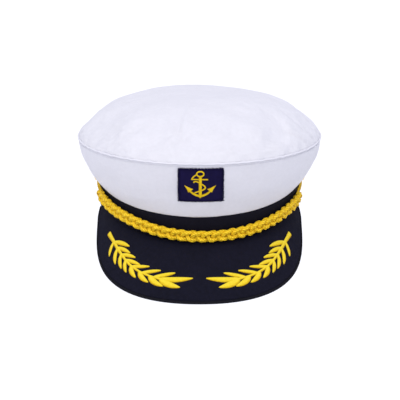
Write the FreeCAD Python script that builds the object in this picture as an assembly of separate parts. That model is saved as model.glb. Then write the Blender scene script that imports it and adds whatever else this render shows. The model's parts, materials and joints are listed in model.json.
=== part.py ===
import FreeCAD, Part
import math
import os

# A peaked captain's cap with a white flared crown, a black band, a navy visor, a gold chin cord
# on two side buttons, an embroidered patch and two embroidered sprigs.
# Millimetres. +Z is up, the visor points to -Y and the wearer's left is +X.
# The origin is the centre of the head opening, in the plane of the band's lower edge.

Vector = FreeCAD.Vector

# Head band: an egg-shaped oval made of two half ellipses that join on its widest line.
BAND_HALF_WIDTH = 89.0
BAND_LENGTH = 205.0
WIDEST_Y = 11.0
BAND_FRONT_HEIGHT = 24.5
BAND_DROP = 0.03
BAND_CLOTH = 1.0
STIFFENER = 0.8
SWEAT_GAP = 1.4
SWEAT_LEATHER = 0.8
REED_HEIGHT = 1.4
LABEL_SHEET = 0.4
LABEL_MARGIN = 4.0
LABEL_HALF_SPAN = 6.0

# Crown: the wall flares from the band to a tilted oval seam, and a soft dome closes it.
CROWN_HALF_WIDTH = 105.3
CROWN_LENGTH = 236.0
SEAM_FRONT_HEIGHT = 76.6
SEAM_DROP = 0.16
FRONT_BULGE = 1.2
SIDE_BULGE = 4.5
DOME_RISE = 38.0
DOME_FLATNESS = 4.0
CROWN_CLOTH = 1.0
LINING = 0.6
LINING_INSET = 6.0
HOOP_WIDTH = 1.8
HOOP_HEIGHT = 2.6
HOOP_INSET = 3.6
HOOP_BELOW_SEAM = 0.4
HOOP_SPLIT = 0.3
SLEEVE_SHEET = 0.35
SLEEVE_HALF_SPAN = 6.0
STAY_HALF_SPAN = 17.0
STAY_SHEET = 0.8
CLOTH_GAP = 0.3
LINING_GAP = 0.4
PIPING = 1.3

# Visor: a curved board whose slope grows towards its ends.
VISOR_LENGTH = 57.0
VISOR_HALF_SPAN = 76.0
VISOR_SPAN_LIMIT = 90.0
VISOR_TAPER = 2.85
VISOR_TAPER_POWER = 3.4
VISOR_SLOPE = 32.0
VISOR_SLOPE_GAIN = 18.0
VISOR_SLOPE_AT = 60.0
VISOR_ROOT_Z = 3.5
VISOR_COVER = 0.5
VISOR_CORE = 1.0
VISOR_UNDER = 0.5
VISOR_EDGE = 1.0
BINDING_LIP = 0.1
ROOT_GAP = 0.1

# Badge patch on the front of the crown, with the anchor and its rope.
PATCH_WIDTH = 35.5
PATCH_HEIGHT = 33.0
PATCH_X = 1.0
PATCH_UP = 33.7
PATCH_THICK = 1.2
STITCH_THICK = 0.8
STITCH_GAP = 0.4
SEWN_GAP = 0.1
ANCHOR_RING_UP = 10.9
ANCHOR_RING_OUTER = 3.6
ANCHOR_RING_INNER = 2.2
ANCHOR_SHANK_TOP = 6.9

# Laurel sprigs on the visor. Stem angles are in degrees from the front, reaches in millimetres.
LEAF_PAIRS = 7
LEAF_LENGTH = 15.0
LEAF_HALF_WIDTH = 2.0
LEAF_SPREAD = 31.0
LEAF_GAP = 0.7
STEM_START = 51.0
STEM_END = 9.5
STEM_REACH = 38.0
STEM_FALL = 28.5
STEM_POWER = 1.3
STEM_HALF_WIDTH = 0.9

# Chin cord, its end wraps and loops, and the buttons that hold it.
CORD_RADIUS = 4.5
WRAP_RADIUS = 5.0
WRAP_LENGTH = 6.0
LOOP_RADIUS = 0.9
LOOP_BEND = 2.5
PIVOT_Z = 17.0
SHANK_RADIUS = 1.2
SHANK_CLEARANCE = 0.1
BUTTON_RADIUS = 5.0
BUTTON_BACK = 0.5
BUTTON_DOME = 1.6
BUTTON_SHEET = 0.4
PRONG_SHEET = 0.5
PRONG_WIDTH = 2.0
PRONG_SPAN = 7.0
EYELET_FLANGE = 3.4
EYELET_WALL = 0.5
EYELET_SHEET = 0.3
LOOP_GAP = 0.3
DISC_GAP = 0.35
PRONG_GAP = 0.25

# The right half of the chin cord's route, from beside the front centre to its end on the side.
# The other half mirrors it.
CORD_ROUTE = [
    (14.6, -107.6, 10.0),
    (43.2, -99.6, 11.3),
    (68.0, -79.2, 14.0),
    (81.4, -52.0, 17.0),
    (86.0, -38.0, 17.6),
]


# ---------- planes, ovals and skins ----------

def blend(low, high, share):
    return low + (high - low) * share


def band_top(y):
    return BAND_FRONT_HEIGHT - BAND_DROP * (y + BAND_LENGTH / 2)


def seam_height(y):
    return SEAM_FRONT_HEIGHT - SEAM_DROP * (y + CROWN_LENGTH / 2)


def plan_point(angle, half_width, length, grow):
    """A point of the egg oval; the angle runs from the front, positive to +X."""
    reach = length / 2 + WIDEST_Y if math.cos(angle) >= 0 else length / 2 - WIDEST_Y
    x = (half_width + grow) * math.sin(angle)
    y = WIDEST_Y - (reach + grow) * math.cos(angle)
    return Vector(x, y, 0)


def half_oval(side, end):
    """Half an ellipse about the widest line's centre, from side across to its mirror point."""
    centre = Vector(0, WIDEST_Y, 0)
    if (end - centre).Length > (side - centre).Length:
        quarter = math.pi / 2
        return Part.ArcOfEllipse(Part.Ellipse(end, side, centre), -quarter, quarter).toShape()
    return Part.ArcOfEllipse(Part.Ellipse(side, end, centre), 0, math.pi).toShape()


def oval_wire(half_width, length, grow):
    """The egg oval as two half ellipses in the plane z = 0."""
    side = Vector(half_width + grow, WIDEST_Y, 0)
    front = half_oval(side, Vector(0, -length / 2 - grow, 0))
    rear = half_oval(side, Vector(0, length / 2 + grow, 0))
    return Part.Wire([front, rear])


def oval_prism(half_width, length, grow, bottom, height):
    face = Part.Face(oval_wire(half_width, length, grow))
    face.translate(Vector(0, 0, bottom))
    return face.extrude(Vector(0, 0, height))


def oval_ring(half_width, length, outer, inner, bottom, height):
    ring = oval_prism(half_width, length, outer, bottom, height)
    return ring.cut(oval_prism(half_width, length, inner, bottom - 1, height + 2))


def band_ring(outer, inner, bottom, top_margin):
    """A ring of the band, cut off at the sloping top edge less a margin."""
    ring = oval_ring(BAND_HALF_WIDTH, BAND_LENGTH, outer, inner, bottom, 2 * BAND_FRONT_HEIGHT)
    return ring.cut(above_plane(band_top, -top_margin))


def above_plane(height_at, offset):
    """A large block that fills the space above a sloping plane."""
    size = 400
    low_y, high_y = -size / 2, size / 2
    outline = Part.makePolygon([
        Vector(-size / 2, low_y, height_at(low_y) + offset),
        Vector(-size / 2, high_y, height_at(high_y) + offset),
        Vector(-size / 2, high_y, size),
        Vector(-size / 2, low_y, size),
        Vector(-size / 2, low_y, height_at(low_y) + offset),
    ])
    return Part.Face(outline).extrude(Vector(size, 0, 0))


def fitted_surface(point_at, rows, columns):
    surface = Part.BSplineSurface()
    surface.interpolate([
        [point_at(i / (rows - 1), j / (columns - 1)) for j in range(columns)] for i in range(rows)
    ])
    return surface


def skin(outer_at, inner_at, rows, columns):
    """A closed solid between two four-sided surfaces that share their parameters."""
    outer = fitted_surface(outer_at, rows, columns)
    inner = fitted_surface(inner_at, rows, columns)
    sides = []
    for corner in (0, 1):
        sides.append((outer.uIso(outer.bounds()[corner]), inner.uIso(inner.bounds()[corner])))
        sides.append((outer.vIso(outer.bounds()[corner + 2]), inner.vIso(inner.bounds()[corner + 2])))
    faces = [outer.toShape(), inner.toShape()]
    faces += [Part.makeRuledSurface(a.toShape(), b.toShape()) for a, b in sides]
    shell = Part.makeShell(faces)
    shell.sewShape()
    solid = Part.makeSolid(Part.Shell(shell.Faces))
    if solid.Volume < 0:
        solid.reverse()
    return solid


# ---------- crown ----------

def crown_point(angle, rise, grow):
    """A point of the crown wall: rise 0 is the band's top edge and rise 1 is the seam."""
    low = plan_point(angle, BAND_HALF_WIDTH, BAND_LENGTH, grow)
    high = plan_point(angle, CROWN_HALF_WIDTH, CROWN_LENGTH, grow)
    bulge = blend(FRONT_BULGE, SIDE_BULGE, math.sin(angle) ** 2) * 4 * rise * (1 - rise)
    x = blend(low.x, high.x, rise) + bulge * math.sin(angle)
    y = blend(low.y, high.y, rise) - bulge * math.cos(angle)
    return Vector(x, y, blend(band_top(low.y), seam_height(high.y), rise))


def wall_panel(start, end, low, high, outer, inner, columns=7, rows=37):
    """A part of the wall between two angles (degrees) and two rises."""
    def at(grow):
        def point_at(u, v):
            return crown_point(math.radians(blend(start, end, u)), blend(low, high, v), grow)
        return point_at
    return skin(at(outer), at(inner), rows, columns)


def dome_point(u, v, grow):
    """A point of the soft top: a square of parameters wrapped onto the seam's oval."""
    across, along = 2 * u - 1, 2 * v - 1
    disc_x = across * math.sqrt(1 - along * along / 2)
    disc_y = along * math.sqrt(1 - across * across / 2)
    radius = min(1.0, math.hypot(disc_x, disc_y))
    angle = math.atan2(disc_x, -disc_y)
    edge = plan_point(angle, CROWN_HALF_WIDTH, CROWN_LENGTH, grow)
    y = blend(WIDEST_Y, edge.y, radius)
    lift = (DOME_RISE + grow) * (1 - radius ** DOME_FLATNESS)
    return Vector(edge.x * radius, y, seam_height(y) + lift)


def dome(outer, inner):
    return skin(lambda u, v: dome_point(u, v, outer), lambda u, v: dome_point(u, v, inner), 23, 23)


def seam_ring(outer, inner, top, height):
    """A ring of the seam's oval, parallel to the sloping seam plane."""
    ring = oval_ring(CROWN_HALF_WIDTH, CROWN_LENGTH, outer, inner, 0, 2 * SEAM_FRONT_HEIGHT)
    ring = ring.cut(above_plane(seam_height, top))
    return ring.common(above_plane(seam_height, top - height))


def sector(middle, half_span, reach=160):
    """A tall wedge about the widest line's centre, for taking a stretch of a ring."""
    centre = Vector(0, WIDEST_Y, -100)
    points = [centre]
    for side in (-1, 1):
        angle = math.radians(middle + side * half_span)
        points.append(centre + Vector(math.sin(angle) * reach, -math.cos(angle) * reach, 0))
    return Part.Face(Part.makePolygon(points + [centre])).extrude(Vector(0, 0, 300))


def crown_parts():
    lining = -LINING_INSET
    hoop_inside = -HOOP_INSET - HOOP_WIDTH
    hoop = seam_ring(-HOOP_INSET, hoop_inside, -HOOP_BELOW_SEAM, HOOP_HEIGHT)
    hoop = hoop.cut(sector(180, HOOP_SPLIT))
    sleeve = seam_ring(
        -HOOP_INSET + SLEEVE_SHEET, hoop_inside - SLEEVE_SHEET,
        -HOOP_BELOW_SEAM + SLEEVE_SHEET, HOOP_HEIGHT + 2 * SLEEVE_SHEET,
    )
    sleeve = sleeve.common(sector(180, SLEEVE_HALF_SPAN)).cut(hoop)
    stay = -CROWN_CLOTH - CLOTH_GAP
    return {
        "crown_top_panel": dome(0, -CROWN_CLOTH),
        "crown_front_panel": wall_panel(-90, 90, 0, 1, 0, -CROWN_CLOTH),
        "crown_back_panel": wall_panel(90, 270, 0, 1, 0, -CROWN_CLOTH),
        "crown_piping": seam_ring(PIPING + SEWN_GAP, SEWN_GAP, PIPING / 2, PIPING),
        "crown_hoop": hoop,
        "hoop_sleeve": sleeve,
        "front_stay": wall_panel(
            -STAY_HALF_SPAN, STAY_HALF_SPAN, 0.14, 0.9, stay, stay - STAY_SHEET, rows=13
        ),
        "lining_top": dome(lining, lining - LINING),
        "lining_side_front": lining_wall(-90, 90),
        "lining_side_back": lining_wall(90, 270),
    }


def lining_wall(start, end):
    """The lining leaves the wall as it rises, from the band to the top lining's edge."""
    at_band = -BAND_CLOTH - STIFFENER - LINING_GAP

    def at(extra):
        def point_at(u, v):
            grow = blend(at_band, -LINING_INSET, v) + extra
            return crown_point(math.radians(blend(start, end, u)), v, grow)
        return point_at
    return skin(at(0), at(-LINING), 37, 7)


# ---------- band ----------

def button_hole(side, radius):
    hole = Part.makeCylinder(radius, 20, Vector(-10, 0, 0), Vector(1, 0, 0))
    hole.translate(Vector(side * BAND_HALF_WIDTH, WIDEST_Y, PIVOT_Z))
    return hole


def band_parts():
    barrel = SHANK_RADIUS + SHANK_CLEARANCE + EYELET_WALL
    cloth = band_ring(0, -BAND_CLOTH, 0, 0)
    stiffener = band_ring(-BAND_CLOTH, -BAND_CLOTH - STIFFENER, REED_HEIGHT, 1.0)
    for side in (-1, 1):
        cloth = cloth.cut(button_hole(side, barrel))
        stiffener = stiffener.cut(button_hole(side, barrel))
    sweat = -BAND_CLOTH - STIFFENER - SWEAT_GAP
    leather = sweat - SWEAT_LEATHER
    label = band_ring(leather, leather - LABEL_SHEET, LABEL_MARGIN, LABEL_MARGIN)
    reed = oval_ring(BAND_HALF_WIDTH, BAND_LENGTH, -BAND_CLOTH, sweat, 0, REED_HEIGHT)
    return {
        "cap_band": cloth,
        "band_stiffener": stiffener,
        "sweatband_reed": reed,
        "sweatband": band_ring(sweat, leather, 0, 2.0),
        "size_label": label.common(sector(180, LABEL_HALF_SPAN)),
    }


# ---------- visor ----------

def visor_slope(angle):
    return math.radians(VISOR_SLOPE + VISOR_SLOPE_GAIN * (angle / VISOR_SLOPE_AT) ** 2)


def visor_reach(angle):
    share = 1 - (abs(angle) / VISOR_SPAN_LIMIT) ** VISOR_TAPER
    return VISOR_LENGTH * share ** VISOR_TAPER_POWER


def visor_point(angle, reach, lift):
    """A point of the visor: angle in degrees, reach down the slope, lift straight up."""
    slope = visor_slope(angle)
    turn = math.radians(angle)
    root = plan_point(turn, BAND_HALF_WIDTH, BAND_LENGTH, ROOT_GAP)
    front_reach = BAND_LENGTH / 2 + WIDEST_Y
    outward = Vector(math.sin(turn) / BAND_HALF_WIDTH, -math.cos(turn) / front_reach, 0)
    outward.normalize()
    height = VISOR_ROOT_Z - reach * math.sin(slope) + lift
    return root + outward * (reach * math.cos(slope)) + Vector(0, 0, height)


def visor_layer(top, bottom, from_rim=False):
    """A layer between two lifts, from the band to the rim, or a strip along the rim."""
    def at(lift):
        def point_at(u, v):
            angle = blend(-VISOR_HALF_SPAN, VISOR_HALF_SPAN, u)
            rim = visor_reach(angle)
            reach = rim + VISOR_EDGE * v if from_rim else rim * v
            return visor_point(angle, reach, lift)
        return point_at
    return skin(at(top), at(bottom), 49, 9)


def visor_parts():
    cover = -VISOR_COVER
    core = cover - VISOR_CORE
    under = core - VISOR_UNDER
    return {
        "visor_top_cover": visor_layer(0, cover),
        "visor_core": visor_layer(cover, core),
        "visor_under_cover": visor_layer(core, under),
        "visor_edge_binding": visor_layer(BINDING_LIP, under - BINDING_LIP, from_rim=True),
    }


# ---------- raised strips on a curved surface ----------

def strip(place, path, half_width, low, high, rows=9):
    """A raised strip: place maps (across, along, lift) to space, path holds flat points."""
    curve = Part.BSplineCurve()
    curve.interpolate([Vector(across, along, 0) for across, along in path])
    first, last = curve.FirstParameter, curve.LastParameter

    def at(lift):
        def point_at(u, v):
            parameter = blend(first, last, u)
            middle = curve.value(parameter)
            tangent = curve.tangent(parameter)[0]
            offset = half_width(u) * (2 * v - 1)
            return place(middle.x - tangent.y * offset, middle.y + tangent.x * offset, lift)
        return point_at
    return skin(at(high), at(low), rows, 5)


def leaf_width(widest):
    """The half width of a leaf along its length, blunt at both ends."""
    return lambda u: 0.25 + (widest - 0.25) * math.sin(math.pi * u ** 0.8)


# ---------- laurel sprigs on the visor ----------

def stem_reach(angle):
    share = max(0.0, (angle - STEM_END) / (STEM_START - STEM_END))
    return STEM_REACH - STEM_FALL * share ** STEM_POWER


def visor_scale(angle, reach):
    """Millimetres along the visor for one degree of angle."""
    step = visor_point(angle + 0.5, reach, 0) - visor_point(angle - 0.5, reach, 0)
    return step.Length


def leaf(base_angle, turn, length, widest, side):
    """One leaf: it leaves the stem towards the front centre, turned from the stem's line."""
    base_reach = stem_reach(base_angle)
    scale = visor_scale(base_angle, base_reach)
    ahead = stem_reach(base_angle - 0.5) - base_reach
    heading = math.atan2(ahead, 0.5 * scale) + math.radians(turn)
    forward = Vector(math.cos(heading), math.sin(heading), 0)

    def place(across, along, lift):
        return visor_point(side * (base_angle - across / scale), base_reach + along, lift)
    gap = STEM_HALF_WIDTH + LEAF_GAP if turn else LEAF_GAP
    start = Vector(0, math.copysign(gap, turn), 0) if turn else forward * gap
    end = start + forward * length
    middle = (start + end) * 0.5
    path = [(start.x, start.y), (middle.x, middle.y), (end.x, end.y)]
    return strip(place, path, leaf_width(widest), SEWN_GAP, SEWN_GAP + STITCH_THICK)


def sprig(side):
    solids = []
    for pair in range(LEAF_PAIRS):
        share = pair / (LEAF_PAIRS - 1)
        base = blend(STEM_START - 6.0, STEM_END + 5.0, share)
        length = LEAF_LENGTH * blend(0.85, 1.0, share)
        for turn in (-LEAF_SPREAD, LEAF_SPREAD):
            solids.append(leaf(base, turn, length, LEAF_HALF_WIDTH, side))

    def stem_place(across, along, lift):
        return visor_point(side * across, along, lift)
    angles = [blend(STEM_START, STEM_END, step / 6) for step in range(7)]
    stem = [(angle, stem_reach(angle)) for angle in angles]

    def stem_width(_):
        return STEM_HALF_WIDTH
    solids.append(strip(stem_place, stem, stem_width, SEWN_GAP, SEWN_GAP + STITCH_THICK, rows=21))
    solids.append(leaf(STEM_END, 0, LEAF_LENGTH * 0.9, LEAF_HALF_WIDTH, side))
    return Part.makeCompound(solids)


# ---------- badge on the front panel ----------

PANEL_SLANT = math.hypot(
    SEAM_FRONT_HEIGHT - BAND_FRONT_HEIGHT, (CROWN_LENGTH - BAND_LENGTH) / 2
)


def panel_point(across, up, lift):
    """A point in front of the crown's face, measured from the panel's lower middle."""
    rise = up / PANEL_SLANT
    half_width = blend(BAND_HALF_WIDTH, CROWN_HALF_WIDTH, rise)
    return crown_point(math.asin(across / half_width), rise, lift)


def patch_solid():
    half_width, half_height = PATCH_WIDTH / 2, PATCH_HEIGHT / 2

    def at(lift):
        def point_at(u, v):
            across = PATCH_X + blend(-half_width, half_width, u)
            return panel_point(across, PATCH_UP + blend(-half_height, half_height, v), lift)
        return point_at
    return skin(at(SEWN_GAP + PATCH_THICK), at(SEWN_GAP), 9, 9)


def on_patch(across, up, lift):
    return panel_point(PATCH_X + across, PATCH_UP + up, lift)


def anchor_solid():
    low = PATCH_THICK + STITCH_GAP
    high = low + STITCH_THICK
    bars = [
        ([(0, -10.2), (0, -1), (0, ANCHOR_SHANK_TOP)], 1.4, 1.4),
        ([(0, -10.4), (0, -12.0), (0, -13.6)], 1.4, 0.2),
    ]
    for side in (-1, 1):
        bars.append(([(side * 1.6, 5.2), (side * 4.5, 5.2), (side * 7.5, 5.2)], 0.8, 0.8))
        bars.append(([(side * 1.7, -11.0), (side * 6.6, -8.6), (side * 9.6, -5.0)], 1.4, 0.9))
        bars.append(([(side * 10.0, -4.4), (side * 11.8, -1.9), (side * 13.2, 1.0)], 2.8, 0.25))
    solids = []
    for path, start_width, end_width in bars:
        def half_width(u, wide=start_width, narrow=end_width):
            return blend(wide, narrow, u)
        solids.append(strip(on_patch, path, half_width, low, high))
    solids.append(anchor_ring(on_patch(0, ANCHOR_RING_UP, low)))
    return Part.makeCompound(solids)


def anchor_ring(place):
    """A flat ring square to the leaning front panel."""
    axis = Vector(0, BAND_FRONT_HEIGHT - SEAM_FRONT_HEIGHT, (BAND_LENGTH - CROWN_LENGTH) / 2)
    ring = Part.makeCylinder(ANCHOR_RING_OUTER, STITCH_THICK, place, axis)
    return ring.cut(Part.makeCylinder(ANCHOR_RING_INNER, STITCH_THICK, place, axis))


def rope_solid():
    low = PATCH_THICK + STITCH_THICK + 2 * STITCH_GAP
    route = [
        (-3.2, 9.0), (-6.8, 6.4), (-5.4, 3.0), (0.4, 1.4), (4.8, -1.4),
        (3.4, -4.6), (-0.8, -6.4), (-5.2, -7.8),
    ]
    return strip(on_patch, route, lambda u: 0.8, low, low + STITCH_THICK, rows=33)


def badge_parts():
    return {
        "badge_patch": patch_solid(),
        "badge_anchor": anchor_solid(),
        "badge_rope": rope_solid(),
        "laurel_sprig_left": sprig(1),
        "laurel_sprig_right": sprig(-1),
    }


# ---------- chin cord ----------

def rounded_path(points):
    """Straight runs joined by tangent arcs, each as large as its two runs allow."""
    edges = []
    start = points[0]
    for before, corner, after in zip(points, points[1:], points[2:]):
        back = (before - corner)
        ahead = (after - corner)
        cut = 0.45 * min(back.Length, ahead.Length)
        first = corner + back.normalize() * cut
        last = corner + ahead.normalize() * cut
        half_turn = (math.pi - back.getAngle(ahead)) / 2
        radius = cut / math.tan(half_turn)
        print("cord radius", round(radius, 1), "turn", round(math.degrees(2 * half_turn), 1))
        to_centre = (back + ahead).normalize() * (radius / math.cos(half_turn) - radius)
        edges.append(Part.LineSegment(start, first).toShape())
        edges.append(Part.Arc(first, corner + to_centre, last).toShape())
        start = last
    edges.append(Part.LineSegment(start, points[-1]).toShape())
    return Part.Wire(edges)


def tube(path, radius):
    start = path.Edges[0]
    place = start.valueAt(start.FirstParameter)
    direction = start.tangentAt(start.FirstParameter)
    ring = Part.Wire(Part.makeCircle(radius, place, direction))
    solid = path.makePipeShell([ring], True, True)
    print("tube share", round(solid.Volume / (math.pi * radius ** 2 * path.Length), 3))
    return solid


def cord_points():
    right = [Vector(*point) for point in CORD_ROUTE]
    left = [Vector(-point.x, point.y, point.z) for point in reversed(right)]
    return left + right


def cord_end(side):
    """The cord's end and the direction in which it goes on towards its button."""
    last, before = Vector(*CORD_ROUTE[-1]), Vector(*CORD_ROUTE[-2])
    direction = (last - before).normalize()
    return Vector(side * last.x, last.y, last.z), Vector(side * direction.x, direction.y, direction.z)


def loop_solid(side):
    """A thin strand that leaves the wrap, turns round the button's shank and comes back."""
    place, direction = cord_end(side)
    start = place + direction * (WRAP_LENGTH - 2)
    pivot_x = side * (BAND_HALF_WIDTH + EYELET_SHEET + LOOP_GAP + LOOP_RADIUS)
    start.x -= side * 1.0
    reach = WIDEST_Y - start.y
    inward = abs(pivot_x) - abs(start.x)
    radius = (reach ** 2 + inward ** 2) / (2 * inward)
    half = math.asin(reach / radius) / 2
    middle_x = side * (abs(pivot_x) - radius * (1 - math.cos(half)))
    middle_y = WIDEST_Y - radius * math.sin(half)

    def run(z):
        return [Vector(start.x, start.y, z), Vector(middle_x, middle_y, z), Vector(pivot_x, WIDEST_Y, z)]
    upper = run(PIVOT_Z + LOOP_BEND)
    lower = run(PIVOT_Z - LOOP_BEND)
    bend = Vector(pivot_x, WIDEST_Y + LOOP_BEND, PIVOT_Z)
    path = Part.Wire([
        Part.Arc(*upper).toShape(),
        Part.Arc(upper[-1], bend, lower[-1]).toShape(),
        Part.Arc(*reversed(lower)).toShape(),
    ])
    return tube(path, LOOP_RADIUS)


def cord_parts():
    parts = {"chin_cord": tube(rounded_path(cord_points()), CORD_RADIUS)}
    for name, side in (("left", 1), ("right", -1)):
        place, direction = cord_end(side)
        wrap = Part.makeCylinder(WRAP_RADIUS, WRAP_LENGTH, place, direction)
        parts["cord_wrap_" + name] = wrap
        parts["cord_loop_" + name] = loop_solid(side)
    return parts


# ---------- buttons ----------

def turned(side, profile):
    """A solid turned about a button's axis, from (distance outwards, radius) points."""
    outline = [Vector(distance, radius, 0) for distance, radius in profile]
    solid = Part.Face(Part.makePolygon(outline + outline[:1])).revolve(Vector(), Vector(1, 0, 0), 360)
    if side < 0:
        solid = solid.mirror(Vector(), Vector(1, 0, 0))
    solid.translate(Vector(side * BAND_HALF_WIDTH, WIDEST_Y, PIVOT_Z))
    return solid


def dome_shell(side, base):
    """The button's pressed front: a shallow spherical cap with a wall of even thickness."""
    sphere = (BUTTON_RADIUS ** 2 + BUTTON_DOME ** 2) / (2 * BUTTON_DOME)
    centre = Vector(side * (BAND_HALF_WIDTH + base + BUTTON_DOME - sphere), WIDEST_Y, PIVOT_Z)
    shell = Part.makeSphere(sphere, centre).cut(Part.makeSphere(sphere - BUTTON_SHEET, centre))
    low = Vector(side * (BAND_HALF_WIDTH + base), WIDEST_Y, PIVOT_Z)
    keep = Part.makeCylinder(BUTTON_RADIUS, BUTTON_DOME + 1, low, Vector(side, 0, 0))
    return shell.common(keep)


def button_parts():
    inside = BAND_CLOTH + STIFFENER
    disc = EYELET_SHEET + LOOP_GAP + 2 * LOOP_RADIUS + DISC_GAP
    bore = SHANK_RADIUS + SHANK_CLEARANCE
    barrel = bore + EYELET_WALL
    shank_end = -inside - EYELET_SHEET - PRONG_GAP
    parts = {}
    for name, side in (("left", 1), ("right", -1)):
        parts["eyelet_" + name] = turned(side, [
            (EYELET_SHEET, bore), (EYELET_SHEET, EYELET_FLANGE), (0, EYELET_FLANGE), (0, barrel),
            (-inside - 0.05, barrel), (-inside - 0.05, EYELET_FLANGE),
            (-inside - EYELET_SHEET, EYELET_FLANGE), (-inside - EYELET_SHEET, bore),
        ])
        parts["button_back_" + name] = turned(side, [
            (shank_end, 0), (shank_end, SHANK_RADIUS), (disc, SHANK_RADIUS), (disc, BUTTON_RADIUS),
            (disc + BUTTON_BACK, BUTTON_RADIUS), (disc + BUTTON_BACK, 0),
        ])
        parts["button_shell_" + name] = dome_shell(side, disc + BUTTON_BACK)
        corner = Vector(-PRONG_SHEET / 2, -PRONG_WIDTH / 2, -PRONG_SPAN / 2)
        prong = Part.makeBox(PRONG_SHEET, PRONG_WIDTH, PRONG_SPAN, corner)
        prong_x = side * (BAND_HALF_WIDTH + shank_end - PRONG_SHEET / 2)
        prong.translate(Vector(prong_x, WIDEST_Y, PIVOT_Z))
        parts["button_prong_" + name] = prong
    return parts


def main():
    os.makedirs("parts", exist_ok=True)
    parts = {}
    for group in (crown_parts, band_parts, visor_parts, badge_parts, cord_parts, button_parts):
        parts.update(group())
    for name, shape in parts.items():
        shape.exportStep("parts/" + name + ".step")
        print(name, len(shape.Solids), round(shape.Volume, 1), shape.isValid())


main()
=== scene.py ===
import json
import math

import bpy
import numpy as np
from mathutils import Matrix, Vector


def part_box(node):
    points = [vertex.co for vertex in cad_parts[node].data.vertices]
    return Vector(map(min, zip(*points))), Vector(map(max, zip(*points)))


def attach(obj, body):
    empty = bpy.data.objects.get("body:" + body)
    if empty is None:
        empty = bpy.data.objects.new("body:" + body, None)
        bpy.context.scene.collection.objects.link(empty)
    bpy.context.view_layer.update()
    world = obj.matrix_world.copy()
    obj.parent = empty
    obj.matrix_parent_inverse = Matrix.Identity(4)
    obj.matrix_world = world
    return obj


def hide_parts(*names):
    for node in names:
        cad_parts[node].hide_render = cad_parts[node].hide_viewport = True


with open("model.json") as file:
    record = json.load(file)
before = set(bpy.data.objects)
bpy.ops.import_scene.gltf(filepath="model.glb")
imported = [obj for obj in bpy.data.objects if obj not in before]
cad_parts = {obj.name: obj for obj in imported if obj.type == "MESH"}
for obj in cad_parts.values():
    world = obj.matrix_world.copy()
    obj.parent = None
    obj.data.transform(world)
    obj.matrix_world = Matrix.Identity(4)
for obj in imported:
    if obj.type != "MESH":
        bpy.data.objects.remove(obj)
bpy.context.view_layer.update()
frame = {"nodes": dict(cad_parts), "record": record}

# A peaked captain's cap. Shapes are worked out in millimetres and turned to metres as each mesh is
# made. +Z is up, the visor points to -Y and the wearer's left is +X.

MM = 0.001
RNG = np.random.default_rng(7)


def corners_mm(node):
    low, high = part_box(node)
    return np.array(low) / MM, np.array(high) / MM


# ---------- sizes taken from the frame ----------

BAND_LOW, BAND_HIGH = corners_mm("cap_band")
BAND_HALF_WIDTH = BAND_HIGH[0]
BAND_LENGTH = BAND_HIGH[1] - BAND_LOW[1]
BAND_FRONT_HEIGHT = BAND_HIGH[2]
BAND_DROP = 0.03

WALL_LOW, WALL_HIGH = corners_mm("crown_front_panel")
CROWN_HALF_WIDTH = WALL_HIGH[0]
CROWN_LENGTH = corners_mm("crown_back_panel")[1][1] - WALL_LOW[1]
SEAM_FRONT_HEIGHT = WALL_HIGH[2]
SEAM_DROP = 0.16
FRONT_BULGE = 1.2
SIDE_BULGE = 4.5
DOME_RISE = 38.0
DOME_FLATNESS = 4.0

BUTTON_LOW, BUTTON_HIGH = corners_mm("button_shell_left")
WIDEST_Y = (BUTTON_LOW[1] + BUTTON_HIGH[1]) / 2
PIVOT_Z = (BUTTON_LOW[2] + BUTTON_HIGH[2]) / 2

VISOR_LENGTH = 57.0
VISOR_HALF_SPAN = 71.5
VISOR_CORNER = 5.0
VISOR_SPAN_LIMIT = 90.0
VISOR_TAPER = 2.85
VISOR_TAPER_POWER = 3.4
VISOR_SLOPE = 32.0
VISOR_SLOPE_GAIN = 18.0
VISOR_SLOPE_AT = 60.0
VISOR_ROOT_Z = 3.5
VISOR_THICK = 2.0
VISOR_EDGE = 1.0

PATCH_X = 1.0
PATCH_UP = 33.7
PATCH_WIDTH = 35.5
PATCH_HEIGHT = 33.0
PATCH_THICK = 1.2
THREAD_RISE = 0.9

CLOTH_THICK = 0.8
LINING_THICK = 0.4

# The chin cord's height at angles round the band, from the right end to the left end.
CORD_OFF_BAND = 4.0
CORD_END_OFF = 2.9
CORD_HEIGHTS = [
    (-68.5, 17.0), (-60, 16.6), (-52, 15.2), (-44, 14.4), (-36, 13.3), (-28, 12.1), (-20, 10.9),
    (-10, 9.9), (0, 9.4), (10, 9.3), (20, 9.6), (30, 10.4), (40, 11.5), (50, 12.8), (59, 13.8),
    (68.5, 14.4),
]


# ---------- the cap's surfaces ----------

def lerp(low, high, share):
    return low + (high - low) * share


def smooth_step(low, high, value):
    share = np.clip((value - low) / (high - low), 0, 1)
    return share * share * (3 - 2 * share)


def band_top(y):
    return BAND_FRONT_HEIGHT - BAND_DROP * (y + BAND_LENGTH / 2)


def seam_height(y):
    return SEAM_FRONT_HEIGHT - SEAM_DROP * (y + CROWN_LENGTH / 2)


def plan(angle, half_width, length, grow):
    """The egg oval: the angle runs from the front, positive to +X."""
    front = length / 2 + WIDEST_Y
    rear = length / 2 - WIDEST_Y
    reach = np.where(np.cos(angle) >= 0, front, rear)
    x = (half_width + grow) * np.sin(angle)
    y = WIDEST_Y - (reach + grow) * np.cos(angle)
    return x, y


def band_plan(angle, grow=0.0):
    return plan(angle, BAND_HALF_WIDTH, BAND_LENGTH, grow)


def crown_plan(angle, grow=0.0):
    return plan(angle, CROWN_HALF_WIDTH, CROWN_LENGTH, grow)


def stack(*columns):
    return np.stack(np.broadcast_arrays(*columns), axis=-1)


def unit(vectors):
    return vectors / np.linalg.norm(vectors, axis=-1, keepdims=True)


def outward(angle):
    """The level direction away from the head at an angle of the oval."""
    return stack(np.sin(angle), -np.cos(angle), 0 * angle)


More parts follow.
